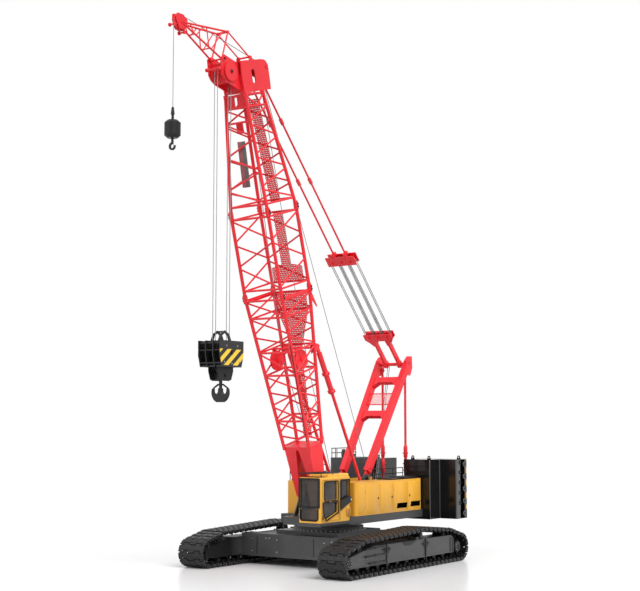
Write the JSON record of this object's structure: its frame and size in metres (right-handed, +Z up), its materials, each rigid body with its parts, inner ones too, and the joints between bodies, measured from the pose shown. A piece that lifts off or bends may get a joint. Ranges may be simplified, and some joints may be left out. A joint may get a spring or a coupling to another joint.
{
  "type": "lattice-boom crawler crane",
  "caption": "Crawler crane with a raised red lattice boom, short head jib, main hook block and auxiliary ball hook, yellow cab and houses, and a black stepped counterweight.",
  "frame": {"origin": "bottom centre of the whole machine's box, on the ground under the middle of its length", "axes": "+Z up, front (boom side) towards -Y, cab on +X"},
  "size_m": [7.6, 15.9279, 19.5083],
  "materials": {
    "track_steel": "dark cast steel with a black satin coat",
    "grey_paint": "semi-gloss dark grey paint",
    "bare_steel": "machined steel",
    "yellow_paint": "gloss golden-yellow paint",
    "engine_iron": "painted cast iron",
    "black_paint": "satin black paint",
    "black_gloss": "gloss black paint",
    "cab_glass": "tinted safety glass",
    "seat_vinyl": "black vinyl",
    "red_paint": "gloss red paint",
    "wire_rope": "greased steel wire rope",
    "forged_black": "forged steel, black"
  },
  "bodies": {
    "undercarriage": {"track_left": "track_steel", "track_right": "track_steel", "track_frame_left": "grey_paint", "track_frame_right": "grey_paint", "idlers": "track_steel", "drive_sprockets": "track_steel", "track_rollers": "track_steel", "carbody": "grey_paint", "slew_ring": "bare_steel"},
    "upperworks": {"upper_frame": "grey_paint", "house_left": "yellow_paint", "house_right": "yellow_paint", "engine": "engine_iron", "engine_hood": "grey_paint", "winches": "black_paint", "cab_shell": "yellow_paint", "cab_glass": "cab_glass", "operator_seat": "seat_vinyl", "counterweight_base": "black_gloss", "counterweight_stack_left": "black_gloss", "counterweight_stack_right": "black_gloss", "counterweight_centre": "black_gloss", "gantry": "red_paint", "back_stays": "red_paint", "handrails": "grey_paint", "cab_fittings": "black_paint"},
    "door": {"cab_door": "yellow_paint", "door_glass": "cab_glass"},
    "boom": {"boom_base": "red_paint", "boom_insert": "red_paint", "boom_top": "red_paint", "boom_walkway": "red_paint", "boom_head": "red_paint", "head_sheaves": "red_paint", "jib": "red_paint", "jib_sheave": "red_paint"},
    "suspension": {"pendants": "red_paint", "bridle": "red_paint"},
    "luffing_sheaves": {"sheave_frame": "red_paint"},
    "backstop_tube_pair": {"backstop_tubes": "red_paint"},
    "backstop_rod_pair": {"backstop_rods": "red_paint"},
    "main_line": {"main_falls": "wire_rope"},
    "main_block": {"hook_block": "black_paint"},
    "main_hook_forging": {"main_hook": "forged_black"},
    "aux_rope": {"aux_line": "wire_rope"},
    "aux_ball": {"aux_weight": "black_paint"},
    "aux_hook_forging": {"aux_hook": "forged_black"}
  },
  "joints": [
    {"name": "slew", "type": "hinge", "parent": "undercarriage", "child": "upperworks", "pos_m": [0, 1.664, 1.61], "axis": [0, 0, 1], "continuous": true},
    {"name": "cab_door_swing", "type": "hinge", "parent": "upperworks", "child": "door", "pos_m": [1.674, -0.0785, 1.79], "axis": [0, 0, 1], "range_deg": [0, 110]},
    {"name": "boom_luff", "type": "hinge", "parent": "upperworks", "child": "boom", "pos_m": [0, 0.564, 2.45], "axis": [1, 0, 0], "range_deg": [-6.2, 33.8]},
    {"name": "pendant_pivot", "type": "hinge", "parent": "boom", "child": "suspension", "pos_m": [0, -2.9262, 17.86848], "axis": [1, 0, 0], "range_deg": [-4.57, 1.65]},
    {"name": "luffing_sheaves_pivot", "type": "hinge", "parent": "upperworks", "child": "luffing_sheaves", "pos_m": [0, 6.474, 7.9], "axis": [1, 0, 0], "range_deg": [-6.55, 31.23]},
    {"name": "backstop_pivot", "type": "hinge", "parent": "boom", "child": "backstop_tube_pair", "pos_m": [0, -0.12701, 8.34113], "axis": [1, 0, 0], "range_deg": [-6.43, 2]},
    {"name": "backstop_slide", "type": "slide", "parent": "backstop_tube_pair", "child": "backstop_rod_pair", "axis": [0, 0.4983, -0.867], "range_m": [-0.2384, 1.2776]},
    {"name": "main_line_swing", "type": "hinge", "parent": "boom", "child": "main_line", "pos_m": [0, -5.01171, 17.94987], "axis": [1, 0, 0], "range_deg": [-34.8, 7.2]},
    {"name": "main_hoist", "type": "slide", "parent": "main_line", "child": "main_block", "axis": [0, 0, 1], "range_m": [0, 6.5], "deforming": ["main_falls"]},
    {"name": "main_hook_swivel", "type": "hinge", "parent": "main_block", "child": "main_hook_forging", "pos_m": [0, -5.01171, 6.96], "axis": [0, 0, 1], "continuous": true},
    {"name": "aux_line_swing", "type": "hinge", "parent": "boom", "child": "aux_rope", "pos_m": [0, -7.384, 19.19756], "axis": [1, 0, 0], "range_deg": [-34.8, 7.2]},
    {"name": "aux_hoist", "type": "slide", "parent": "aux_rope", "child": "aux_ball", "axis": [0, 0, 1], "range_m": [0, 2], "deforming": ["aux_line"]},
    {"name": "aux_hook_swivel", "type": "hinge", "parent": "aux_ball", "child": "aux_hook_forging", "pos_m": [0, -7.684, 15.08], "axis": [0, 0, 1], "continuous": true}
  ],
  "couplings": [
    {"joint": "pendant_pivot", "follows": "boom_luff", "ratio": -0.10552},
    {"joint": "luffing_sheaves_pivot", "follows": "boom_luff", "ratio": 0.89448},
    {"joint": "backstop_pivot", "follows": "boom_luff", "ratio": -0.16066},
    {"joint": "backstop_slide", "follows": "boom_luff", "m_per_rad": 2.1572},
    {"joint": "main_line_swing", "follows": "boom_luff", "ratio": -1},
    {"joint": "aux_line_swing", "follows": "boom_luff", "ratio": -1}
  ]
}
